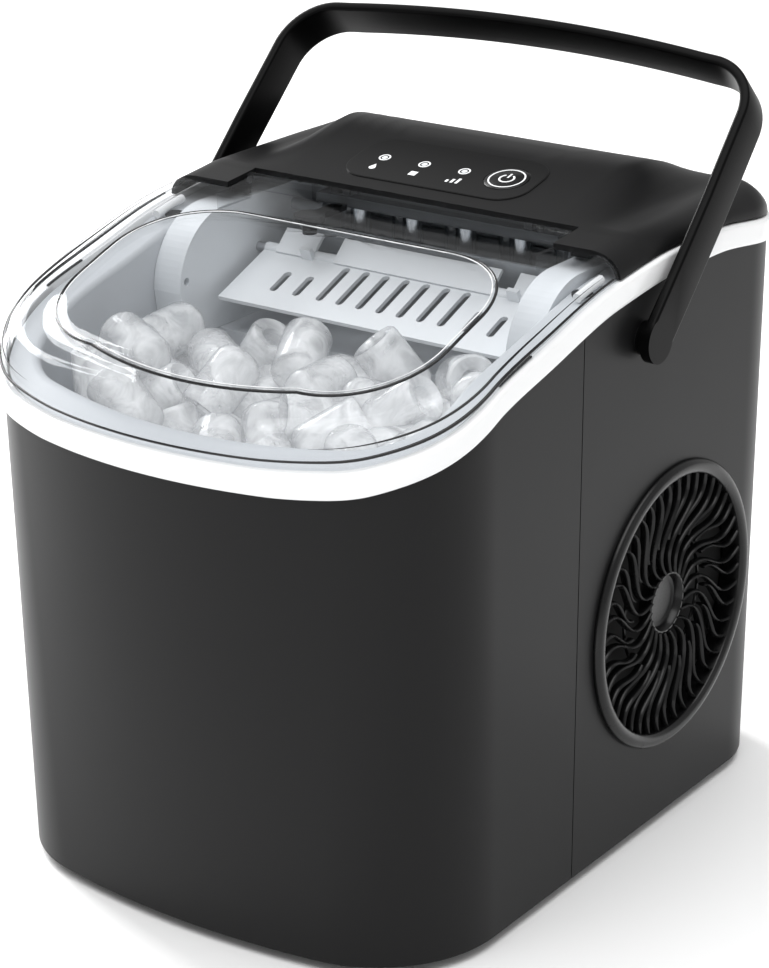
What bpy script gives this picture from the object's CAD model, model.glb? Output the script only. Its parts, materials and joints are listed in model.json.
"""Looks of a countertop ice maker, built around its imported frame.

Front is -Y, the round side grille is on +X. Shapes are worked out in millimetres and
turned into metres by make_mesh. Every piece rides on a body of the frame.
"""

import json
import math

import bmesh
import bpy
import numpy as np
from mathutils import Matrix, Vector


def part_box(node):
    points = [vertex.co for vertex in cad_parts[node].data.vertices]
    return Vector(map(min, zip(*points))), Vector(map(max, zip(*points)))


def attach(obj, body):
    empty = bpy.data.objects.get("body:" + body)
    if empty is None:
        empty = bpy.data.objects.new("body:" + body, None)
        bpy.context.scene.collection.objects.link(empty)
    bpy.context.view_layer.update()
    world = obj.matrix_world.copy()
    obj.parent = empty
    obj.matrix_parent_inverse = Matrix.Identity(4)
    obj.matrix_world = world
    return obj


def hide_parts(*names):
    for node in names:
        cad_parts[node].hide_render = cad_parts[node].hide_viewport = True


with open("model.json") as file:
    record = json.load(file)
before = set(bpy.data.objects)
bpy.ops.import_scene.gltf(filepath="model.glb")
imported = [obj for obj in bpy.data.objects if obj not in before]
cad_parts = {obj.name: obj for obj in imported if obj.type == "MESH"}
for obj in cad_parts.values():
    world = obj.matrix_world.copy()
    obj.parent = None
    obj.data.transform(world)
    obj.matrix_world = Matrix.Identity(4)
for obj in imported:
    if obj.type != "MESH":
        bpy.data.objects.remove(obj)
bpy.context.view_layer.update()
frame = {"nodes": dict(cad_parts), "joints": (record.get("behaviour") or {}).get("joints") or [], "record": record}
MM = 0.001
NODES = frame["nodes"]
JOINTS = {j["name"]: j for j in frame["joints"]}


def box_mm(node):
    """Lowest and highest corner of a CAD node, in millimetres."""
    lo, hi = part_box(node)
    return np.array(lo) / MM, np.array(hi) / MM


# ---- Driving sizes in millimetres: from the frame, or as in part.scad ----------
BAND_PROUD = 1.5  # how far the white band stands out of the shell
FOOT_H = box_mm("rear_shell")[0][2]
HW, HD = (box_mm("trim_band")[1] - BAND_PROUD)[:2]  # half width and half depth of the shell
WALL = 2.4
BAND_H = 10
FRONT_H = 191.9  # shell height at the front, then at the back, then the cover's ridge
BACK_H = 238.6
COVER_H = 269.3
FRONT_LEAN = 9.4  # the foot of the front lies this far back, its top this far forward
FRONT_REACH = 2.7
FRONT_BOW = 7
FRONT_R = 57
REAR_R = 40
LID_GAP = 0.8
ROLL_W = 13  # width of the rounded border of the lid and cover
SEAM_Y = -23
SEAM_W = 0.5
TONGUE_HW = 79  # half width of the lid's tongue between the cover's ears
LIP_Y = 20.8
EAR_Y = 0.5
PANEL_DEG = 12.6
PANEL_Y = 46
OPEN_HW, OPEN_YF, BAY_BACK, TUB_BACK = 93.5, -129.8, 66, -6
TUB_FLOOR, BAY_FLOOR = 62, 196
LOW_SHRINK = 1.3  # the shell's bottom outline is this much narrower each side
SHOULDER_DROP = 11.8  # the cover's shoulders lie this far below its ridge
ROLL_STEPS = (6, 13)  # depths between which the raised field's step sets in
HINGE = np.array(JOINTS["lid_hinge"]["pos_m"]) / MM
PIVOT = np.array(JOINTS["handle_swing"]["pos_m"]) / MM
FAN = np.array(JOINTS["fan_spin"]["pos_m"]) / MM

# Top edge of the shell: y, share of the rise, slope; crown line: y, drop, slope
RISE = [(-145, 0, 0.0026), (-135, 0.0426, 0.0055), (-125, 0.1186, 0.0075), (-110, 0.2308, 0.0081),
        (-100, 0.318, 0.0092), (-90, 0.4142, 0.0093), (-80, 0.5048, 0.0071), (-50, 0.67, 0.0052),
        (0, 0.915, 0.0026), (45, 0.9946, 0), (76, 0.9874, -0.0004), (110, 0.9055, -0.0025),
        (151, 0.8, -0.0027)]
PANEL_K = math.tan(math.radians(PANEL_DEG))
DROP = [(-155, 55.5, 0.2), (-131, 46.8, 0.25), (-90, 34.8, 0.31), (-60, 25.1, 0.29),
        (-30, 17.6, 0.19), (0, 14.1, 0.09), (19.6, 12.3, 0.1),
        (20.4, 12.2 - 0.4 * PANEL_K, PANEL_K), (70, 12.2 - 50 * PANEL_K, PANEL_K),
        (84, 0, -0.15), (112, 9.3, -0.42), (151, 26.3, -0.45)]


def curve(keys, y):
    """Smooth curve through (place, value, slope) keys, for an array of places."""
    y = np.clip(np.asarray(y, float), keys[0][0], keys[-1][0])
    k = np.array(keys, float)
    i = np.clip(np.searchsorted(k[:, 0], y, side="right") - 1, 0, len(k) - 2)
    a, b = k[i], k[i + 1]
    h = b[..., 0] - a[..., 0]
    t = (y - a[..., 0]) / h
    return ((2 * t**3 - 3 * t**2 + 1) * a[..., 1] + (t**3 - 2 * t**2 + t) * h * a[..., 2]
            + (3 * t**2 - 2 * t**3) * b[..., 1] + (t**3 - t**2) * h * b[..., 2])


def smooth(a, b, v):
    t = np.clip((np.asarray(v, float) - a) / (b - a), 0, 1)
    return t * t * (3 - 2 * t)


def edge_z(y):
    return FOOT_H + FRONT_H + (BACK_H - FRONT_H) * curve(RISE, y)


def band_z(y):
    return edge_z(y) + BAND_H


def crown(y):
    return FOOT_H + COVER_H + curve([(k[0], -k[1], k[2]) for k in DROP], y)


def base_z(x, y):
    low = np.minimum(crown(y), FOOT_H + COVER_H - SHOULDER_DROP)
    s = smooth(72, 92, np.abs(x))
    return crown(y) * (1 - s) + low * s


def skin_z(x, y, d, t=0.0):
    """Surface of the lid and top cover, d in from its outline and t below its top."""
    z0 = band_z(y) + LID_GAP
    u = np.clip((d - t) / (ROLL_W - t), 0, 1)
    return z0 + (base_z(x, y) - t - z0) * np.sqrt(np.maximum(0, 1 - (1 - u) ** 2))


def plan(w, yf, yb, bow, rf, rb, fine=1.0):
    """Closed plan outline: bowed front, round corners, straight sides, round back."""
    c = w - rf
    R = max((c * c + bow * bow) / (2 * bow), c + rf + 5)
    yc = yf + R - math.sqrt((R - rf) ** 2 - c * c)
    a0 = math.atan2(c, yf + R - yc)
    ym = yb - rb
    n = [max(2, int(v * fine)) for v in (16, 18, 44, 16, 12)]
    pts = [(R * math.sin(a0 * i / n[0]), yf + R - R * math.cos(a0 * i / n[0])) for i in range(n[0])]
    pts += [(c + rf * math.sin(t), yc - rf * math.cos(t))
            for t in (a0 + (math.pi / 2 - a0) * i / n[1] for i in range(n[1]))]
    pts += [(w, yc + (ym - yc) * i / n[2]) for i in range(n[2])]
    pts += [(w - rb + rb * math.cos(t), ym + rb * math.sin(t))
            for t in (math.pi / 2 * i / n[3] for i in range(n[3]))]
    pts += [((w - rb) * (1 - i / n[4]), yb) for i in range(n[4] + 1)]
    return np.array(pts + [(-x, y) for x, y in pts[-2:0:-1]])


def top_plan(inset, fine=1.0):
    return plan(HW - inset, -HD - FRONT_REACH + inset, HD - inset, FRONT_BOW * (HW - inset) / HW,
                max(FRONT_R - inset, 3), max(REAR_R - inset, 3), fine)


# ---- Mesh helpers -------------------------------------------------------------
def make_mesh(name, verts, faces, sharp=38):
    """Mesh object from millimetres, smooth except at edges sharper than an angle."""
    me = bpy.data.meshes.new(name)
    me.from_pydata([tuple(float(c) * MM for c in v) for v in verts], [], [tuple(f) for f in faces])
    return as_object(name, me, sharp)


def as_object(name, me, sharp=38):
    bm = bmesh.new()
    bm.from_mesh(me)
    bmesh.ops.remove_doubles(bm, verts=bm.verts, dist=1e-6)
    bmesh.ops.recalc_face_normals(bm, faces=bm.faces)
    bm.to_mesh(me)
    bm.free()
    me.shade_smooth()
    me.set_sharp_from_angle(angle=math.radians(sharp))
    ob = bpy.data.objects.new(name, me)
    bpy.context.scene.collection.objects.link(ob)
    return ob


def loft(name, rings, closed=True, caps=True, sharp=38, loop=False):
    """Skin over rings of equal length; closed rings wrap, loop joins the last to the first."""
    n = len(rings[0])
    verts = [p for r in rings for p in r]
    faces = []
    for k in range(len(rings) if loop else len(rings) - 1):
        a, b = k * n, (k + 1) % len(rings) * n
        for i in range(n if closed else n - 1):
            j = (i + 1) % n
            faces.append((a + i, a + j, b + j, b + i))
    if caps and not loop and closed:
        faces += [tuple(range(n))[::-1], tuple(range((len(rings) - 1) * n, len(rings) * n))]
    return make_mesh(name, verts, faces, sharp)


def tube(name, pts, r, closed=False, sides=10, sharp=50, flat=1.0, up=(0, 0, 1)):
    """Round bar along points; flat squashes it along up."""
    pts = np.array(pts, float)
    n = len(pts)
    rings = []
    for i in range(n):
        a = pts[(i - 1) % n] if closed or i else pts[i]
        b = pts[(i + 1) % n] if closed or i < n - 1 else pts[i]
        t = (b - a) / max(np.linalg.norm(b - a), 1e-9)
        side = np.cross(t, up)
        side /= max(np.linalg.norm(side), 1e-9)
        v = np.cross(side, t)
        rad = r[i] if hasattr(r, "__len__") else r
        rings.append([pts[i] + rad * (math.cos(q) * side + flat * math.sin(q) * v)
                      for q in (2 * math.pi * k / sides for k in range(sides))])
    return loft(name, rings, caps=not closed, sharp=sharp, loop=closed)


def prism(name, outline, z0, z1):
    """Upright prism over a plan outline."""
    return loft(name, [[(x, y, z0) for x, y in outline], [(x, y, z1) for x, y in outline]])


def block(name, lo, hi):
    (a, b, c), (d, e, f) = lo, hi
    return prism(name, [(a, b), (d, b), (d, e), (a, e)], c, f)


def barrel(name, axis, centre, r, lo, hi, sides=96):
    """Cylinder along x, y or z between two places on that axis."""
    u, v = [k for k in range(3) if k != axis]
    rings = []
    for w in (lo, hi):
        ring = []
        for k in range(sides):
            p = [0.0, 0.0, 0.0]
            p[axis] = w
            p[u] = centre[u] + r * math.cos(2 * math.pi * k / sides)
            p[v] = centre[v] + r * math.sin(2 * math.pi * k / sides)
            ring.append(p)
        rings.append(ring)
    return loft(name, rings)


def bake_modifiers(ob, sharp):
    """Turns an object's modifiers into its mesh."""
    bpy.context.view_layer.update()
    done = bpy.data.meshes.new_from_object(
        ob.evaluated_get(bpy.context.evaluated_depsgraph_get()))
    ob.modifiers.clear()
    ob.data = done
    done.shade_smooth()
    done.set_sharp_from_angle(angle=math.radians(sharp))


def cut(ob, cutters, how="DIFFERENCE", sharp=38):
    """ob cut by, kept inside, or joined with the cutters, which are removed."""
    for c in cutters:
        m = ob.modifiers.new("cut", "BOOLEAN")
        m.operation = how
        m.solver = "EXACT"
        m.object = c
    bake_modifiers(ob, sharp)
    for c in cutters:
        bpy.data.objects.remove(c)
    return ob


def halve(ob, y, keep_front):
    """Keeps one side of a plane of constant y."""
    bm = bmesh.new()
    bm.from_mesh(ob.data)
    bmesh.ops.bisect_plane(bm, geom=bm.verts[:] + bm.edges[:] + bm.faces[:],
                           plane_co=(0, y * MM, 0), plane_no=(0, 1, 0),
                           clear_outer=keep_front, clear_inner=not keep_front)
    bm.to_mesh(ob.data)
    bm.free()


def thicken(ob, depth, sharp=38):
    """Gives an open sheet a wall on its inner side."""
    m = ob.modifiers.new("wall", "SOLIDIFY")
    m.thickness = depth * MM
    m.offset = -1
    m.use_even_offset = True
    bake_modifiers(ob, sharp)
    return ob


def soften(ob, width, segments=2, angle=35):
    """Bevels the edges sharper than an angle."""
    m = ob.modifiers.new("bevel", "BEVEL")
    m.width = width * MM
    m.segments = segments
    m.limit_method = "ANGLE"
    m.angle_limit = math.radians(angle)
    m.harden_normals = False
    return ob


def joined(name, parts):
    """One object out of several."""
    bm = bmesh.new()
    for o in parts:
        me = o.data.copy()
        me.transform(o.matrix_world)
        bm.from_mesh(me)
    me = bpy.data.meshes.new(name)
    bm.to_mesh(me)
    bm.free()
    for o in parts:
        bpy.data.objects.remove(o)
    me.shade_smooth()
    me.set_sharp_from_angle(angle=math.radians(40))
    ob = bpy.data.objects.new(name, me)
    bpy.context.scene.collection.objects.link(ob)
    return ob


# ---- Materials ----------------------------------------------------------------
def shader(name, rgb, rough, metallic=0.0, grain=None, mottle=0.0, coat=0.0, spec=0.5,
           transmission=0.0, ior=1.45, alpha=1.0):
    """Principled material with a fine grain and a slight unevenness of its gloss."""
    m = bpy.data.materials.new(name)
    m.use_nodes = True
    nt = m.node_tree
    p = nt.nodes["Principled BSDF"]
    p.inputs["Base Color"].default_value = (*rgb, 1)
    p.inputs["Metallic"].default_value = metallic
    p.inputs["Roughness"].default_value = rough
    p.inputs["Specular IOR Level"].default_value = spec
    p.inputs["Coat Weight"].default_value = coat
    p.inputs["Coat Roughness"].default_value = 0.08
    p.inputs["Transmission Weight"].default_value = transmission
    p.inputs["IOR"].default_value = ior
    p.inputs["Alpha"].default_value = alpha
    where = nt.nodes.new("ShaderNodeTexCoord")
    if mottle:
        noise = nt.nodes.new("ShaderNodeTexNoise")
        noise.inputs["Scale"].default_value = 26
        noise.inputs["Detail"].default_value = 4
        span = nt.nodes.new("ShaderNodeMapRange")
        span.inputs["To Min"].default_value = rough - mottle
        span.inputs["To Max"].default_value = rough + mottle
        nt.links.new(where.outputs["Object"], noise.inputs["Vector"])
        nt.links.new(noise.outputs["Fac"], span.inputs["Value"])
        nt.links.new(span.outputs["Result"], p.inputs["Roughness"])
    if grain:
        scale, strength = grain
        noise = nt.nodes.new("ShaderNodeTexNoise")
        noise.inputs["Scale"].default_value = scale
        noise.inputs["Detail"].default_value = 3
        bump = nt.nodes.new("ShaderNodeBump")
        bump.inputs["Strength"].default_value = strength
        bump.inputs["Distance"].default_value = 0.0002
        nt.links.new(where.outputs["Object"], noise.inputs["Vector"])
        nt.links.new(noise.outputs["Fac"], bump.inputs["Height"])
        nt.links.new(bump.outputs["Normal"], p.inputs["Normal"])
    return m


def clear_shader(name, tint, rough, glint=0.05, falloff=5.5):
    """Clear plastic: see-through, with a mirror that grows towards its edges."""
    m = bpy.data.materials.new(name)
    m.use_nodes = True
    nt = m.node_tree
    nt.nodes.remove(nt.nodes["Principled BSDF"])
    shine = nt.nodes.new("ShaderNodeBsdfGlossy")
    shine.inputs["Roughness"].default_value = rough
    shine.inputs["Color"].default_value = (0.42, 0.425, 0.43, 1)
    through = nt.nodes.new("ShaderNodeBsdfTransparent")
    through.inputs["Color"].default_value = (*tint, 1)
    facing = nt.nodes.new("ShaderNodeLayerWeight")
    facing.inputs["Blend"].default_value = 0.5
    steep = nt.nodes.new("ShaderNodeMath")
    steep.operation = "POWER"
    steep.inputs[1].default_value = falloff
    edge = nt.nodes.new("ShaderNodeMath")
    edge.operation = "MULTIPLY_ADD"
    edge.inputs[1].default_value = 1 - glint
    edge.inputs[2].default_value = glint
    nt.links.new(facing.outputs["Facing"], steep.inputs[0])
    nt.links.new(steep.outputs[0], edge.inputs[0])
    mix = nt.nodes.new("ShaderNodeMixShader")
    nt.links.new(edge.outputs[0], mix.inputs["Fac"])
    nt.links.new(through.outputs[0], mix.inputs[1])
    nt.links.new(shine.outputs[0], mix.inputs[2])
    nt.links.new(mix.outputs[0], nt.nodes["Material Output"].inputs["Surface"])
    return m


def ice_shader(name, rgb):
    """Cloudy ice: greyer at its outlines, with noise in its surface and in its alpha."""
    m = shader(name, rgb, 0.07, spec=1.0, transmission=0.2, ior=1.25)
    nt = m.node_tree
    p = nt.nodes["Principled BSDF"]
    where = nt.nodes.new("ShaderNodeTexCoord")
    cloud = nt.nodes.new("ShaderNodeTexNoise")
    cloud.inputs["Scale"].default_value = 75
    cloud.inputs["Detail"].default_value = 3
    cloud.inputs["Distortion"].default_value = 1.2
    span = nt.nodes.new("ShaderNodeMapRange")
    span.inputs["From Min"].default_value = 0.36
    span.inputs["From Max"].default_value = 0.64
    span.inputs["To Min"].default_value = 0.3
    span.inputs["To Max"].default_value = 0.8
    rim = nt.nodes.new("ShaderNodeLayerWeight")
    rim.inputs["Blend"].default_value = 0.5
    edge = nt.nodes.new("ShaderNodeMath")
    edge.operation = "POWER"
    edge.inputs[1].default_value = 2.2
    tone = nt.nodes.new("ShaderNodeMix")
    tone.data_type = "RGBA"
    tone.inputs["A"].default_value = rgb + (1,)
    tone.inputs["B"].default_value = (0.3, 0.31, 0.325, 1)
    nt.links.new(rim.outputs["Facing"], edge.inputs[0])
    nt.links.new(edge.outputs["Value"], tone.inputs["Factor"])
    nt.links.new(tone.outputs["Result"], p.inputs["Base Color"])
    p.inputs["Emission Color"].default_value = (0.95, 0.97, 1, 1)
    p.inputs["Emission Strength"].default_value = 0.07
    wave = nt.nodes.new("ShaderNodeTexNoise")
    wave.inputs["Scale"].default_value = 130
    wave.inputs["Detail"].default_value = 2
    bump = nt.nodes.new("ShaderNodeBump")
    bump.inputs["Strength"].default_value = 0.8
    bump.inputs["Distance"].default_value = 0.0003
    for noise in (cloud, wave):
        nt.links.new(where.outputs["Object"], noise.inputs["Vector"])
    nt.links.new(cloud.outputs["Fac"], span.inputs["Value"])
    nt.links.new(span.outputs["Result"], p.inputs["Alpha"])
    nt.links.new(wave.outputs["Fac"], bump.inputs["Height"])
    nt.links.new(bump.outputs["Normal"], p.inputs["Normal"])
    return m


MATS = {
    "shell_black": shader("shell_satin_black", (0.0075, 0.0075, 0.0078), 0.40,
                          grain=(2600, 0.05), mottle=0.02, spec=0.2),
    "cover_black": shader("cover_satin_black", (0.0075, 0.0075, 0.0078), 0.34,
                          grain=(2600, 0.05), mottle=0.02, spec=0.16),
    "handle_black": shader("handle_satin_black", (0.0015, 0.0015, 0.0016), 0.32,
                           grain=(2600, 0.04), mottle=0.03, spec=0.08),
    "overlay_black": shader("overlay_film", (0.005, 0.005, 0.0052), 0.30, mottle=0.01, spec=0.24),
    "trim_white": shader("band_gloss_white", (0.90, 0.905, 0.91), 0.22, mottle=0.03, coat=0.4),
    "lid_clear": clear_shader("lid_clear_plastic", (0.965, 0.97, 0.975), 0.035),
    "liner_grey": shader("liner_satin_grey", (0.54, 0.56, 0.585), 0.42,
                         grain=(1500, 0.03), mottle=0.03),
    "cheek_grey": shader("cheek_satin_grey", (0.74, 0.765, 0.79), 0.45,
                         grain=(1500, 0.03), mottle=0.03),
    "basket_clear": shader("basket_clear", (0.60, 0.63, 0.66), 0.2, mottle=0.02, alpha=0.6),
    "shovel_white": shader("shovel_satin_white", (0.76, 0.78, 0.80), 0.4, mottle=0.03),
    "tray_white": shader("tray_white", (0.30, 0.32, 0.34), 0.35, mottle=0.03),
    "lens_clear": shader("lens_clear", (0.75, 0.78, 0.80), 0.15, mottle=0.02),
    "board_green": shader("board_green", (0.02, 0.09, 0.04), 0.45, mottle=0.04),
    "foam": shader("foam", (0.72, 0.67, 0.52), 0.9, grain=(500, 0.6)),
    "steel": shader("steel", (0.55, 0.56, 0.58), 0.3, metallic=1.0, mottle=0.06),
    "plated_metal": shader("plated_metal", (0.70, 0.72, 0.74), 0.25, metallic=1.0, mottle=0.06),
    "copper": shader("copper", (0.72, 0.36, 0.22), 0.28, metallic=1.0, mottle=0.08),
    "compressor_black": shader("compressor_black", (0.012, 0.012, 0.013), 0.25,
                               coat=0.4, mottle=0.05),
    "valve_blue": shader("valve_blue", (0.03, 0.08, 0.25), 0.35, mottle=0.03),
    "rubber_black": shader("rubber_black", (0.012, 0.012, 0.012), 0.75, grain=(900, 0.2)),
    "grille_black": shader("grille_gloss_black", (0.0035, 0.0035, 0.0037), 0.27,
                           mottle=0.03, spec=0.4),
    "fan_dark": shader("fan_dark", (0.010, 0.010, 0.011), 0.5, mottle=0.04),
    "motor_grey": shader("motor_grey", (0.10, 0.105, 0.11), 0.4, mottle=0.04),
    "pump_dark": shader("pump_dark", (0.02, 0.02, 0.022), 0.5, mottle=0.04),
    "hose_clear": shader("hose_clear", (0.68, 0.71, 0.73), 0.35, mottle=0.04),
    "float_white": shader("float_white", (0.75, 0.77, 0.78), 0.55, mottle=0.04),
    "ice": ice_shader("ice", (0.98, 0.985, 0.99)),
    "mark_white": shader("mark_white", (0.80, 0.81, 0.82), 0.5, mottle=0.02),
    "mark_grey": shader("mark_grey", (0.0015, 0.0015, 0.0015), 0.3, mottle=0.02),
    "edge_dark": shader("lid_edge_dark", (0.01, 0.01, 0.011), 0.15, mottle=0.02),
    "gap_dark": shader("gap_dark", (0.004, 0.004, 0.004), 0.8, mottle=0.02),
    "floor": shader("floor_pale", (0.97, 0.97, 0.97), 0.6, mottle=0.02),
}


def paint(ob, key):
    ob.data.materials.clear()
    ob.data.materials.append(MATS[key])
    return ob


for part in frame["record"]["subparts"]:
    paint(NODES[part["node"]], part["material_slot"])
for sleeved in ("suction_tube", "hot_gas_tube", "capillary_tube"):
    paint(NODES[sleeved], "rubber_black")
paint(NODES["evaporator_plate"], "motor_grey")


def piece(ob, slot_name, body, *nodes, material=None):
    """Paints a piece, says its slot and body, and lets it stand for CAD nodes."""
    paint(ob, material or slot_name)
    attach(ob, body)
    if nodes:
        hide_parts(*nodes)
    return ob


# ---- Shells -------------------------------------------------------------------
def wall_sheet(name):
    """The whole side wall as one smooth sheet from the bottom to the top edge."""
    grow = (BACK_H + 10) / FRONT_H
    low = plan(HW - LOW_SHRINK, -HD + FRONT_LEAN, HD - 2.5, 4.2, FRONT_R - 2.5, REAR_R, 2)
    high = plan(HW + 0.1, -HD + FRONT_LEAN - (FRONT_LEAN + FRONT_REACH) * grow, HD + 0.1,
                FRONT_BOW * 1.05, FRONT_R + 3, REAR_R, 2)
    tall = BACK_H + 10
    top = np.full(len(low), FOOT_H + BACK_H)
    for _ in range(8):
        s = (top - FOOT_H) / tall
        top = edge_z(low[:, 1] * (1 - s) + high[:, 1] * s)
    rings = []
    for v in np.linspace(0, 1, 13):
        z = FOOT_H + (top - FOOT_H) * v
        s = ((z - FOOT_H) / tall)[:, None]
        xy = low * (1 - s) + high * s
        rings.append(np.column_stack([xy, z]))
    return loft(name, rings, caps=False)


def build_shells():
    front = wall_sheet("front_wall")
    halve(front, SEAM_Y - SEAM_W / 2, True)
    soften(thicken(front, WALL), 0.35, 2)
    piece(front, "shell_black", "housing", "front_shell")
    back = wall_sheet("rear_wall")
    halve(back, SEAM_Y + SEAM_W / 2, False)
    thicken(back, WALL)
    grille_lo, grille_hi = box_mm("side_grille")
    ring_r = (grille_hi[1] - grille_lo[1]) / 2 - 3.2
    vent_lo, vent_hi = box_mm("rear_grille")
    gland, drain = box_mm("cord_gland"), box_mm("drain_spigot")
    cutters = [barrel("c1", 0, FAN, ring_r, 90, 130),
               barrel("c2", 0, PIVOT, 6.2, -130, 130),
               block("c3", (vent_lo[0] + 5, 130, vent_lo[2] + 5),
                     (vent_hi[0] - 5, 160, vent_hi[2] - 5)),
               barrel("c4", 1, (gland[0] + gland[1]) / 2, 6.6, 130, 160),
               barrel("c5", 1, (drain[0] + drain[1]) / 2, 8.1, 130, 160)]
    soften(cut(back, cutters), 0.35, 2)
    piece(back, "shell_black", "housing", "rear_shell")


def build_band():
    """White band: a rounded bar that follows the shell's top edge."""
    outline = plan(HW + BAND_PROUD, -HD - FRONT_REACH - BAND_PROUD, HD + BAND_PROUD, FRONT_BOW,
                   FRONT_R + BAND_PROUD, REAR_R + BAND_PROUD, 2)
    t = np.roll(outline, -1, 0) - np.roll(outline, 1, 0)
    t /= np.linalg.norm(t, axis=1)[:, None]
    inward = np.column_stack([-t[:, 1], t[:, 0]])
    r = 1.7
    prof = [(0, r)]
    prof += [(0.9 - 0.9 * math.sin(a), 0.95 - 0.9 * math.cos(a)) for a in (1.2, 0.8, 0.4, 0)]
    prof += [(3.7, 0.05), (3.9, 0.3), (3.9, BAND_H - 0.4), (3.6, BAND_H)]
    prof += [(r - r * math.sin(a), BAND_H - r + r * math.cos(a))
             for a in (0, 0.35, 0.7, 1.05, 1.35, 1.57)]
    rings = []
    for i in range(len(outline)):
        ring = []
        for d, h in prof:
            x, y = outline[i] + inward[i] * d
            ring.append((x, y, float(edge_z(outline[i][1] * 0.35 + y * 0.65)) + h))
        rings.append(ring)
    band = loft("trim_ring", rings, caps=False, loop=True)
    piece(band, "trim_white", "housing", "trim_band")


def build_seams():
    """A dark line where the two shells meet."""
    top = float(edge_z(SEAM_Y)) - 0.4
    for s, side in ((1, "right"), (-1, "left")):
        x0, x1 = sorted((s * 106.5, s * 108.2))
        strip = block("seam_" + side, (x0, SEAM_Y - 0.5, FOOT_H + 1), (x1, SEAM_Y + 0.5, top))
        piece(strip, "shell_black", "housing", material="gap_dark")


# ---- Lid and top cover --------------------------------------------------------
DEPTHS = [0, 0.25, 0.7, 1.3, 2.1, 3.2, 4.6, 6.4, 8.4, 10.6, 13, 15.5, 18.5, 22, 26, 31, 37,
          44, 52, 61, 71, 82, 94, 105]
FIELD_HW, FIELD_YF, FIELD_YB, FIELD_R, FIELD_BOW = 87.7, -129.5, -22.1, 39.0, 8.3


def field_front(x):
    """Bowed front edge of the lid's raised field."""
    return FIELD_YF + FIELD_BOW * np.minimum(np.abs(x) / (FIELD_HW - FIELD_R), 1) ** 2


def plateau_step(x, y, drop, edge=1.6):
    """How far the clear lid lies below its raised middle field at a place."""
    yf = field_front(x)
    cy, hy = (FIELD_YB + yf) / 2, (FIELD_YB - yf) / 2
    dx, dy = np.abs(x) - (FIELD_HW - FIELD_R), np.abs(y - cy) - (hy - FIELD_R)
    out = np.hypot(np.maximum(dx, 0), np.maximum(dy, 0))
    out = out + np.minimum(np.maximum(dx, dy), 0) - FIELD_R
    return drop * smooth(-edge / 2, edge / 2, out)


def field_line(grow):
    """Closed outline of the raised field, grown outwards."""
    c, r = FIELD_HW - FIELD_R, FIELD_R + grow
    front = [(c * t, float(field_front(c * t)) - grow) for t in np.linspace(0, 1, 26)[:-1]]
    yc = FIELD_YF + FIELD_BOW + FIELD_R
    front += [(c + r * math.sin(a), yc - r * math.cos(a)) for a in np.linspace(0, math.pi / 2, 22)]
    yr = FIELD_YB - FIELD_R
    front += [(c + r, yc + (yr - yc) * t) for t in np.linspace(0, 1, 8)[1:-1]]
    front += [(c + r * math.cos(a), yr + r * math.sin(a)) for a in np.linspace(0, math.pi / 2, 22)]
    front += [(c * t, FIELD_YB + grow) for t in np.linspace(1, 0, 24)[1:]]
    return front + [(-x, y) for x, y in front[-2:0:-1]]


def skin_ring(d, place, below, step, fine):
    """Ring of the skin at a depth, laid at a place inwards and below the top surface."""
    p = top_plan(place, fine)
    z = skin_z(p[:, 0], p[:, 1], place, below)
    if step:
        z = z - plateau_step(p[:, 0], p[:, 1], step) * smooth(*ROLL_STEPS, d)
    return np.column_stack([p, z])


def skin_solid(name, thickness, step=0.0, fine=1.5):
    """Closed skin over the whole top, from rings outside and rings inside."""
    rings = [skin_ring(d, d, 0.0, step, fine) for d in DEPTHS]
    inner = [skin_ring(d, max(d, thickness + d / 20), thickness, step, fine) for d in DEPTHS]
    n = len(rings[0])
    verts = [v for r in rings + inner for v in r]
    faces = []
    m = len(rings)
    for k in range(m - 1):
        for i in range(n):
            j = (i + 1) % n
            faces.append((k * n + i, k * n + j, (k + 1) * n + j, (k + 1) * n + i))
            a = (m + k) * n
            faces.append((a + j, a + i, a + n + i, a + n + j))
    for i in range(n):
        j = (i + 1) % n
        faces.append((j, i, m * n + i, m * n + j))
    half = n // 2
    for base, flip in (((m - 1) * n, False), ((2 * m - 1) * n, True)):
        for i in range(half):
            a, b = base + i, base + i + 1
            c, d = base + (n - i - 1) % n, base + (n - i) % n
            q = [v for k, v in enumerate((a, b, c, d)) if v not in (a, b, c, d)[:k]]
            if len(q) > 2:
                faces.append(tuple(q[::-1] if flip else q))
    return make_mesh(name, verts, faces, 30)


def build_top_cover():
    cover = skin_solid("cover_skin", WALL)
    cutters = [block("k1", (-150, -170, 150), (150, EAR_Y + 1.6, 320)),
               block("k2", (-TONGUE_HW - 0.6, -10, 150), (TONGUE_HW + 0.6, LIP_Y, 320))]
    cut(cover, cutters, sharp=30)
    soften(cover, 0.5, 2, 40)
    piece(cover, "cover_black", "housing", "top_cover")


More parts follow.
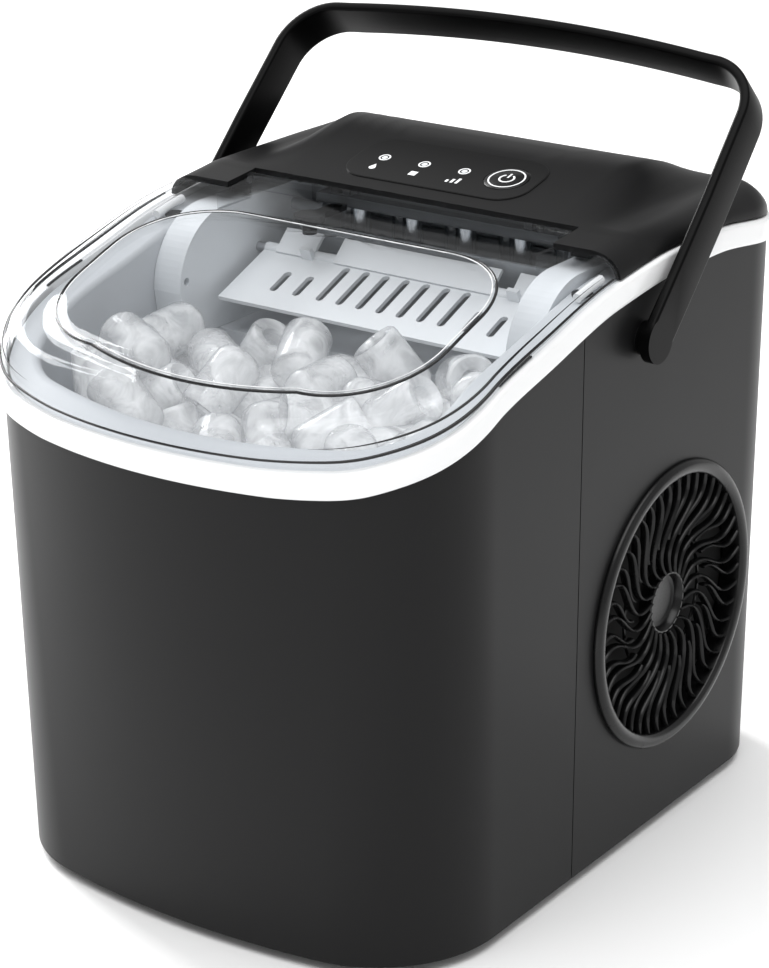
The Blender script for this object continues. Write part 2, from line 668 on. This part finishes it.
def build_lid():
    lid = skin_solid("lid_shell", WALL, step=1.3)
    keep = prism("lk", [(-150, -170), (150, -170), (150, EAR_Y), (TONGUE_HW, EAR_Y),
                        (TONGUE_HW, HINGE[1]), (-TONGUE_HW, HINGE[1]), (-TONGUE_HW, EAR_Y),
                        (-150, EAR_Y)], 150, 320)
    cut(lid, [keep], "INTERSECT", sharp=30)
    ends = []
    for s in (-1, 1):
        x0, x1 = sorted((s * (TONGUE_HW - 2), s * TONGUE_HW))
        ends.append(block("e%d" % s, (x0, -6, HINGE[2] - 7), (x1, HINGE[1] - 2, HINGE[2] - 0.5)))
    ends.append(barrel("e0", 0, HINGE, 3.5, -TONGUE_HW, TONGUE_HW, 32))
    lid = joined("lid_clear_cover", [lid] + ends)
    piece(lid, "lid_clear", "lid", "lid")
    # bold edge of the raised field, with a fine bright line inside it
    for name, grow, radius, sunk, key in (("lid_field_edge", 0.0, 0.62, 0.9, "edge_dark"),
                                          ("lid_field_glint", -1.5, 0.26, 0.35, "mark_white")):
        line = [(x, y, float(base_z(x, y)) - sunk) for x, y in field_line(grow)]
        piece(tube(name, line, radius, closed=True, sides=8), "lid_clear", "lid", material=key)
    # dark line round the lid's foot, and a fine tapered one on the roll at each side
    for name, inset, radius, swell, tapered in (("lid_foot_line", 0.25, 0.5, 0.2, False),
                                                ("lid_roll_line", 1.5, 0.24, 0.3, True)):
        p = top_plan(inset, 1.5)
        n = len(p)
        k = [i for i in range(n) if p[i][1] < EAR_Y - 0.5]
        run = [p[i] for i in k if i >= n // 2] + [p[i] for i in k if i < n // 2]
        if tapered:
            runs = [[q for q in run if s * q[0] > 66 and q[1] < -8] for s in (-1, 1)]
        else:
            runs = [run]
        for j, part in enumerate(runs):
            line = [(x, y, float(skin_z(x, y, inset)) + 0.05) for x, y in part]
            taper = [math.sin(math.pi * (i + 0.6) / (len(part) + 0.2)) ** 0.6 if tapered else 1
                     for i in range(len(part))]
            r = [(radius + swell * float(smooth(60, 104, abs(x)) * smooth(-20, -90, y))) * t
                 for t, (x, y) in zip(taper, part)]
            ob = tube("%s_%d" % (name, j), line, r, sides=8)
            piece(ob, "lid_clear", "lid", material="edge_dark")


# ---- Liner --------------------------------------------------------------------
def tub_plan(out, fine=1.0, back=BAY_BACK):
    return plan(OPEN_HW + out, OPEN_YF - out, back + out, 6.5, 34.9 + out, 6 + out, fine)


def build_liner():
    """Rim that slopes into the tub, the tub itself and the bay behind it."""
    outer, inner = top_plan(4.1, 1.5), tub_plan(0, 1.5)
    outer = np.column_stack([outer[:, 0], np.minimum(outer[:, 1], BAY_BACK + 2.3)])
    top = band_z(outer[:, 1]) - 1.6
    lip = band_z(inner[:, 1] - 1.5) - 1.9
    rings = [np.column_stack([outer, top - 3]), np.column_stack([outer, top])]
    round_r = 2.6
    edge = tub_plan(round_r, 1.5)
    for t in np.linspace(0.1, 1, 6):
        xy = outer + (edge - outer) * t
        rings.append(np.column_stack([xy, top + (lip - top) * t]))
    for t in np.linspace(0.15, 1, 6) * math.pi / 2:
        xy = inner + (edge - inner) * (1 - math.sin(t))
        rings.append(np.column_stack([xy, lip - round_r * (1 - math.cos(t))]))
    low = BAY_FLOOR + 2.5
    rings.append(np.column_stack([inner, np.minimum(lip - 6, lip * 0.6 + low * 0.4)]))
    rings.append(np.column_stack([inner, np.full(len(inner), low)]))
    rim = loft("liner_rim", rings, caps=False)
    # bay floor with the tub's opening, then the tub
    tub_open = np.column_stack([inner[:, 0], np.minimum(inner[:, 1], TUB_BACK)])
    tub = [np.column_stack([inner, np.full(len(inner), low)]),
           np.column_stack([tub_open, np.full(len(inner), low)])]
    for z in (low - 1.5, 150, 100, TUB_FLOOR + 6):
        tub.append(np.column_stack([tub_open, np.full(len(inner), z)]))
    floor_ring = tub_open * 0.96
    tub.append(np.column_stack([floor_ring, np.full(len(inner), TUB_FLOOR + 2.5)]))
    tub = loft("liner_tub", tub, caps=False)
    bm = bmesh.new()
    bm.from_mesh(tub.data)
    edges = [e for e in bm.edges if e.is_boundary and all(v.co.z < 0.08 for v in e.verts)]
    bmesh.ops.contextual_create(bm, geom=edges)
    bm.to_mesh(tub.data)
    bm.free()
    whole = joined("liner_inside", [rim, tub])
    bm = bmesh.new()
    bm.from_mesh(whole.data)
    bmesh.ops.remove_doubles(bm, verts=bm.verts, dist=1e-5)
    bmesh.ops.recalc_face_normals(bm, faces=bm.faces)
    bm.to_mesh(whole.data)
    bm.free()
    piece(whole, "liner_grey", "housing", "liner")
    # round sockets in the rim beside the hinge, slits and hinge bars along its sides
    for s, side in ((1, "right"), (-1, "left")):
        z = float(band_z(-8)) - 4.4
        cup = barrel("rim_socket_" + side, 2, (s * 99.7, -8, 0), 4.5, z - 3, z + 2.6, 48)
        piece(cup, "liner_grey", "housing", material="fan_dark")
        pts = [(s * 108.4, y, float(band_z(y)) + 0.35) for y in np.linspace(-79, -58, 12)]
        slit = tube("rim_slit_%s_0" % side, pts, 0.75, sides=8, flat=0.6)
        piece(slit, "trim_white", "housing", material="edge_dark")
        bar = [(s * 102.5, y, float(band_z(y)) + 0.6) for y in np.linspace(-17, 0, 8)]
        piece(tube("hinge_bar_" + side, bar, 1.9, sides=10), "trim_white", "housing")


# ---- Carry handle -------------------------------------------------------------
def build_handle():
    """Bent strap with round feet; its path is drawn flat and then leaned forward."""
    w = box_mm("carry_handle")[1][0]
    length, thick, strip, corner, arch, lean_deg = 129.0, 4.2, 18.6, 25.3, 5.6, 45.3
    c = w - 1.4 - corner
    big = (c * c + arch * arch) / (2 * arch)
    path = [(w, 0.0), (w, 30.0), (w - 0.3, 60.0)]
    path += [(c + corner * math.cos(a), length - arch - corner + corner * math.sin(a))
             for a in (math.radians(k) for k in range(0, 86, 5))]
    path += [(x, length - big + math.sqrt(big * big - x * x)) for x in np.linspace(c * 0.96, 0, 14)]
    path = path + [(-x, y) for x, y in path[-2::-1]]
    p = np.array(path)
    t = np.gradient(p, axis=0)
    t /= np.linalg.norm(t, axis=1)[:, None]
    inward = np.column_stack([-t[:, 1], t[:, 0]])
    if (p[0] + inward[0])[0] > p[0][0]:
        inward = -inward
    half_w, r = strip / 2, 1.3
    prof = []
    for sx, sy, a0 in ((1, 1, 0), (-1, 1, 90), (-1, -1, 180), (1, -1, 270)):
        for k in range(5):
            a = math.radians(a0 + k * 22.5)
            prof.append(((thick / 2 - r) * sx + r * math.cos(a),
                         (half_w - r) * sy + r * math.sin(a)))
    lean = math.radians(lean_deg - 90)
    rings = []
    for i in range(len(p)):
        ring = []
        for d, v in prof:
            q = p[i] + inward[i] * (thick / 2 - d)
            ring.append((q[0], v, q[1]))
        rings.append(ring)
    parts = [loft("strap", rings)]
    for s in (-1, 1):
        x0, x1 = sorted((s * (w - thick), s * w))
        parts.append(barrel("knob%d" % s, 0, (0, 0, 0), half_w, x0, x1, 64))
    turn = Matrix.Translation(Vector(PIVOT * MM)) @ Matrix.Rotation(lean, 4, "X")
    for o in parts:
        o.data.transform(turn)
    for s in (-1, 1):
        x0, x1 = sorted((s * (HW + 0.7), s * (w - 1)))
        parts.append(barrel("stub%d" % s, 0, PIVOT, 7, x0, x1, 48))
    strap = parts[0]
    cut(strap, parts[1:], "UNION")
    strap.name = "handle_strap"
    soften(strap, 0.7, 3, 50)
    piece(strap, "handle_black", "handle", "carry_handle")


# ---- Side grille --------------------------------------------------------------
def build_grille():
    """Ring, hub, hoop and swinging ribs of two lengths, over a dark plate."""
    lo, hi = box_mm("side_grille")
    ring_r = (hi[1] - lo[1]) / 2 - 2.9
    face = hi[0]
    cy, cz = FAN[1], FAN[2]
    parts = []
    prof = [(-3.2, -9), (-3.2, -0.6), (-2.9, 0.1), (-2.2, 0.75), (-1.1, 1.2), (0, 1.3), (1.2, 1.1),
            (2.2, 0.45), (2.9, -0.5), (3.0, -1.6), (2.7, -2.4)]
    rings = []
    for k in range(144):
        a = 2 * math.pi * k / 144
        rings.append([(face - 1.3 + h, cy + (ring_r + d) * math.cos(a),
                       cz + (ring_r + d) * math.sin(a)) for d, h in prof])
    parts.append(loft("ring", rings, closed=False, caps=False, loop=True))
    inner = ring_r - 3.0
    count, steps, depth = 22, 22, face - 3.4
    # long ribs and short ribs: share of the pitch, inner radius, swing, start and run of its wave
    kinds = ((0, 13.0, 4.6, 0, 0.98), (0.5, 29.0, 3.8, 0.2, 0.78))
    for i in range(count):
        for share, r0, reach, start, run in kinds:
            a0 = (i + share) * 2 * math.pi / count
            pts, rad = [], []
            for k in range(steps + 1):
                t = k / steps
                r = r0 + (inner + 0.6 - r0) * t
                swing = reach * math.sin(2 * math.pi * (start + run * t))
                a = a0 + swing / r - 0.010 * (r - 13) * 0.35
                dish = 2.6 * (1 - (r / inner) ** 2)
                pts.append((depth - dish, cy + r * math.cos(a), cz + r * math.sin(a)))
                rad.append(0.95 - 0.25 * abs(2 * t - 1))
            parts.append(tube("rib", pts, rad, sides=8, up=(1, 0, 0), flat=2.4))
    # hub: a shallow dish with a fine rim
    hub = [(0.2, -3.2), (9.6, -3.2), (11.0, -2.6), (11.8, 0.2), (12.3, 0.75), (12.9, 0.75),
           (13.4, 0.2), (13.5, -5)]
    rings = [[(depth - 2.2 + h, cy + r * math.cos(2 * math.pi * k / 72),
               cz + r * math.sin(2 * math.pi * k / 72)) for r, h in hub] for k in range(72)]
    parts.append(loft("hub", rings, closed=False, caps=False, loop=True))
    hoop = [(depth - 4.6, cy + 29.6 * math.cos(a), cz + 29.6 * math.sin(a))
            for a in (2 * math.pi * k / 96 for k in range(96))]
    parts.append(tube("hoop", hoop, 0.7, closed=True, sides=8, up=(1, 0, 0)))
    whole = joined("grille_ring_and_ribs", parts)
    piece(whole, "grille_black", "housing", "side_grille")
    plate = barrel("grille_shade", 0, FAN, inner + 1, face - 12.2, face - 11.6, 96)
    piece(plate, "fan_dark", "housing", material="gap_dark")


# ---- Control panel ------------------------------------------------------------
def on_panel(ob):
    """Moves a piece made flat at the origin onto the sloping panel."""
    place = Matrix.Translation(Vector((0, PANEL_Y * MM, float(crown(PANEL_Y)) * MM)))
    ob.data.transform(place @ Matrix.Rotation(math.radians(PANEL_DEG), 4, "X"))
    return ob


def rounded(w, d, r, n=10):
    pts = []
    for sx, sy, a0 in ((1, 1, 0), (-1, 1, 90), (-1, -1, 180), (1, -1, 270)):
        pts += [(sx * (w / 2 - r) + r * math.cos(a), sy * (d / 2 - r) + r * math.sin(a))
                for a in (math.radians(a0 + 90 * k / n) for k in range(n + 1))]
    return pts


def flat_ring(name, outline_out, outline_in, z0, z1):
    a = [(x, y, z1) for x, y in outline_out]
    b = [(x, y, z1) for x, y in outline_in]
    c = [(x, y, z0) for x, y in outline_in]
    d = [(x, y, z0) for x, y in outline_out]
    return loft(name, [a, b, c, d], loop=True, caps=False)


def circle(x, y, r, n=48):
    return [(x + r * math.cos(2 * math.pi * k / n), y + r * math.sin(2 * math.pi * k / n))
            for k in range(n)]


def build_panel():
    """Film with a hole for the button, lamps, the button, and generic white signs."""
    leds, sign_y = (-30.8, -10.8, 9.0), -8.6
    bx, br, hole_r = 29.6, 9.4, 9.4 + 0.4

    def on_film(ob, slot_name, body="housing", *nodes, material=None):
        piece(on_panel(ob), slot_name, body, *nodes, material=material)

    corners = rounded(88, 35, 12.5, 14)
    outline = []
    for (x0, y0), (x1, y1) in zip(corners, corners[1:] + corners[:1]):
        n = max(1, round(math.hypot(x1 - x0, y1 - y0) / 1.5))
        outline += [(x0 + (x1 - x0) * k / n, y0 + (y1 - y0) * k / n) for k in range(n)]
    hole = [(bx + hole_r * (x - bx) / math.hypot(x - bx, y), hole_r * y / math.hypot(x - bx, y))
            for x, y in outline]
    film = flat_ring("panel_film", outline, hole, -0.2, 0.42)
    on_film(film, "overlay_black", "housing", "control_overlay")
    edge = flat_ring("panel_outline", rounded(88.8, 35.8, 12.9, 14),
                     rounded(87.9, 34.9, 12.5, 14), 0.0, 0.3)
    on_film(edge, "overlay_black", material="mark_grey")
    for i, x in enumerate(leds):
        ring = flat_ring("led_ring_%d" % i, circle(x, 0, 2.65), circle(x, 0, 1.95), 0.4, 0.56)
        on_film(ring, "lens_clear", material="mark_white")
        dot = prism("led_dot_%d" % i, circle(x, 0, 1.95), 0.4, 0.5)
        on_film(dot, "overlay_black")
    # generic signs below the lamps: a drop, a cube and three bars
    drop = [(0, 2.4)]
    drop += [(1.5 * math.sin(a), -0.8 - 1.5 * math.cos(a)) for a in np.linspace(2.2, -2.2, 15)]
    cx, h = leds[1], 1.7
    signs = [("sign_drop", [(leds[0] + x, sign_y + y) for x, y in drop]),
             ("sign_cube", [(cx - h, sign_y - h), (cx + h, sign_y - h),
                            (cx + h, sign_y + h), (cx - h, sign_y + h)])]
    for k, (dx, tall) in enumerate(((-2.4, 2.0), (0, 3.2), (2.4, 4.4))):
        x = leds[2] + dx
        signs.append(("sign_bar_%d" % k, [(x - 0.6, -10.6), (x + 0.6, -10.6),
                                          (x + 0.6, -10.6 + tall), (x - 0.6, -10.6 + tall)]))
    for name, shape in signs:
        on_film(prism(name, shape, 0.4, 0.48), "lens_clear", material="mark_white")
    prof = ((4.3, -2.8), (4.3, 0.1), (br, 0.12), (br, 0.45), (br - 0.2, 0.6), (0.1, 0.62))
    button = loft("button_cap", [[(x, y, z) for x, y in circle(bx, 0, r, 72)] for r, z in prof])
    on_film(button, "overlay_black", "button", "power_button")
    ring = flat_ring("button_ring", circle(bx, 0, 7.9, 72), circle(bx, 0, 7.25, 72), 0.6, 0.7)
    on_film(ring, "overlay_black", "button", material="mark_white")
    arc = [(bx + 3.1 * math.sin(a), 3.1 * math.cos(a), 0.66)
           for a in np.linspace(0.6, 2 * math.pi - 0.6, 24)]
    sign = tube("button_sign_arc", arc, 0.42, sides=6, flat=0.3)
    on_film(sign, "overlay_black", "button", material="mark_white")
    bar = [(bx - 0.4, 0.6), (bx + 0.4, 0.6), (bx + 0.4, 4.2), (bx - 0.4, 4.2)]
    on_film(prism("button_sign_bar", bar, 0.6, 0.72), "overlay_black", "button",
            material="mark_white")


# ---- Ice ----------------------------------------------------------------------
def settle_ice(count, radius, half_len, seed=7, steps=620, fall=0.55):
    """Lays capsules in the basket by pushing overlaps apart under a light pull down."""
    rng = np.random.default_rng(seed)
    lo, hi = box_mm("ice_basket")
    x0, x1, y0, y1, z0 = lo[0] + 3, hi[0] - 3, lo[1] + 3, hi[1] - 1, lo[2] + 2
    c = np.column_stack([rng.uniform(x0 + 12, x1 - 12, count), rng.uniform(y0 + 22, y1 - 10, count),
                         np.linspace(z0 + 12, z0 + 330, count)])
    d = rng.normal(size=(count, 3)) * (1, 1, 0.55)
    d /= np.linalg.norm(d, axis=1)[:, None]
    a, b = c - d * half_len, c + d * half_len
    iu = np.triu_indices(count, 1)
    for _ in range(steps):
        a[:, 2] -= fall
        b[:, 2] -= fall
        for _ in range(2):
            p, q, r, s = a[iu[0]], b[iu[0]], a[iu[1]], b[iu[1]]
            u, v, w = q - p, s - r, p - r
            A, B, C = (u * u).sum(1), (u * v).sum(1), (v * v).sum(1)
            D, E = (u * w).sum(1), (v * w).sum(1)
            den = A * C - B * B + 1e-6
            sc = np.clip((B * E - C * D) / den, 0, 1)
            tc = np.clip((B * sc + E) / C, 0, 1)
            sc = np.clip((B * tc - D) / A, 0, 1)
            gap = (p + u * sc[:, None]) - (r + v * tc[:, None])
            dist = np.linalg.norm(gap, axis=1) + 1e-9
            push = np.maximum(0, 2 * radius - dist) * 0.5
            n = gap / dist[:, None] * push[:, None] * 0.9
            da, db = np.zeros_like(a), np.zeros_like(b)
            for (k, sign, w1) in ((0, 1, sc), (1, -1, tc)):
                np.add.at(da, iu[k], sign * n * (1 - w1)[:, None])
                np.add.at(db, iu[k], sign * n * w1[:, None])
            a += da * 0.75
            b += db * 0.75
            mid, axis = (a + b) / 2, b - a
            axis /= np.linalg.norm(axis, axis=1)[:, None]
            a, b = mid - axis * half_len, mid + axis * half_len
            for e in (a, b):
                e[:, 2] = np.maximum(e[:, 2], z0 + radius)
                e[:, 0] = np.clip(e[:, 0], x0 + radius, x1 - radius)
                e[:, 1] = np.minimum(e[:, 1], y1 - radius)
                cx = np.maximum(np.abs(e[:, 0]) - 52, 0)
                front = y0 + 4 + 0.0022 * e[:, 0] ** 2 + 34 - np.sqrt(np.maximum(34**2 - cx**2, 0))
                e[:, 1] = np.maximum(e[:, 1], front + radius)
    return a, b


def bullet(name, a, b, radius):
    """Ice bullet: a thimble with a round end, a soft rim and a hollow in the other end."""
    length = np.linalg.norm(b - a) + 2 * radius
    prof = [(0.05, 0.0)]
    for t in np.linspace(0.12, math.pi / 2, 9):
        prof.append((radius * math.sin(t) ** 0.72, radius * 0.62 * (1 - math.cos(t))))
    prof += [(radius * 1.01, length * 0.55), (radius * 1.01, length - 2.2),
             (radius * 0.98, length - 0.8), (radius * 0.90, length), (radius * 0.60, length - 0.2),
             (radius * 0.47, length - 1.4), (radius * 0.42, length * 0.55),
             (radius * 0.33, length * 0.34), (radius * 0.18, length * 0.27), (0.05, length * 0.25)]
    rings = [[(x, y, z) for x, y in circle(0, 0, r, 22)] for r, z in prof]
    ob = loft(name, rings, sharp=60)
    axis = Vector(b - a).normalized()
    turn = axis.to_track_quat("Z", "Y").to_matrix().to_4x4()
    start = Vector((a - np.array(axis) * radius) * MM)
    ob.data.transform(Matrix.Translation(start) @ turn)
    return ob


def build_ice():
    """The heap: bullets settled by a seeded drop, without those buried deep."""
    count, radius, half_len, buried_z = 208, 10.4, 4.6, 128
    a, b = settle_ice(count, radius, half_len)
    top = np.argsort(-((a + b) / 2)[:, 2])
    parts = []
    rng = np.random.default_rng(3)
    for i in top:
        p, q = (a[i], b[i]) if rng.random() < 0.5 else (b[i], a[i])
        if ((p + q) / 2)[2] > buried_z:
            parts.append(bullet("ice", p, q, radius * 0.985))
    ice = joined("ice_bullets", parts)
    piece(ice, "basket_clear", "basket", material="ice")
    print("ice", len(parts), "top", ((a + b) / 2)[:, 2].max())


# ---- CAD pieces shown as they are, with softened edges --------------------------
def soften_small_parts():
    for n in ("left_cheek", "right_cheek"):
        soften(NODES[n], 0.8, 3, 40)
    for n in ("ice_shovel", "water_tray", "side_grille", "rear_grille", "tray_motor",
              "evaporator_plate"):
        soften(NODES[n], 0.35, 2, 40)


# ---- Scene --------------------------------------------------------------------
def build_stage():
    me = bpy.data.meshes.new("floor")
    s = 12.0
    me.from_pydata([(-s, -s, 0), (s, -s, 0), (s, s, 0), (-s, s, 0)], [], [(0, 1, 2, 3)])
    floor = bpy.data.objects.new("floor", me)
    bpy.context.scene.collection.objects.link(floor)
    floor.location.z = -0.0005
    paint(floor, "floor")


def area_light(name, place, target, size, power, tall=None):
    data = bpy.data.lights.new(name, "AREA")
    data.shape = "RECTANGLE"
    data.size, data.size_y = size, tall or size
    data.energy = power
    ob = bpy.data.objects.new(name, data)
    ob.location = place
    ob.rotation_euler = (Vector(target) - Vector(place)).to_track_quat("-Z", "Y").to_euler()
    bpy.context.scene.collection.objects.link(ob)


def build_lights():
    world = bpy.data.worlds.new("studio")
    bpy.context.scene.world = world
    world.use_nodes = True
    sky = world.node_tree.nodes["Background"]
    sky.inputs["Color"].default_value = (1, 1, 1, 1)
    sky.inputs["Strength"].default_value = 0.55
    bpy.context.scene.view_settings.view_transform = "Standard"
    middle = (0, 0, 0.16)
    area_light("top_soft", (0.1, -0.5, 2.4), middle, 2.6, 62)
    area_light("left_strip", (-1.7, 0.5, 0.9), middle, 0.5, 44, 1.6)
    area_light("right_fill", (1.9, 0.5, 1.0), middle, 1.0, 1.5, 1.4)


def build_camera():
    """Camera at the angle of view of the reference, with its long lens."""
    image_h, focal_px, shift_px = 968, 2869.22, 0.51
    az, el, roll = math.radians(35.64), math.radians(21.13), math.radians(-0.38)
    target, dist = Vector((0, 0.00068, 0.14325)), 1.18434
    back = Vector((math.sin(az) * math.cos(el), -math.cos(az) * math.cos(el), math.sin(el)))
    right = Vector((0, 0, 1)).cross(back).normalized()
    up = back.cross(right)
    r2 = right * math.cos(roll) + up * math.sin(roll)
    u2 = up * math.cos(roll) - right * math.sin(roll)
    cam = bpy.data.objects.new("camera", bpy.data.cameras.new("camera"))
    turn = Matrix((r2, u2, back)).transposed().to_4x4()
    cam.matrix_world = Matrix.Translation(target + back * dist) @ turn
    cam.data.sensor_width = 36
    cam.data.lens = focal_px / image_h * 36
    cam.data.shift_x = shift_px / image_h
    cam.data.clip_start, cam.data.clip_end = 0.05, 60
    bpy.context.scene.collection.objects.link(cam)
    bpy.context.scene.camera = cam


build_shells()
build_band()
build_seams()
build_top_cover()
build_lid()
build_liner()
build_handle()
build_grille()
build_panel()
soften_small_parts()
build_ice()
build_stage()
build_lights()
build_camera()
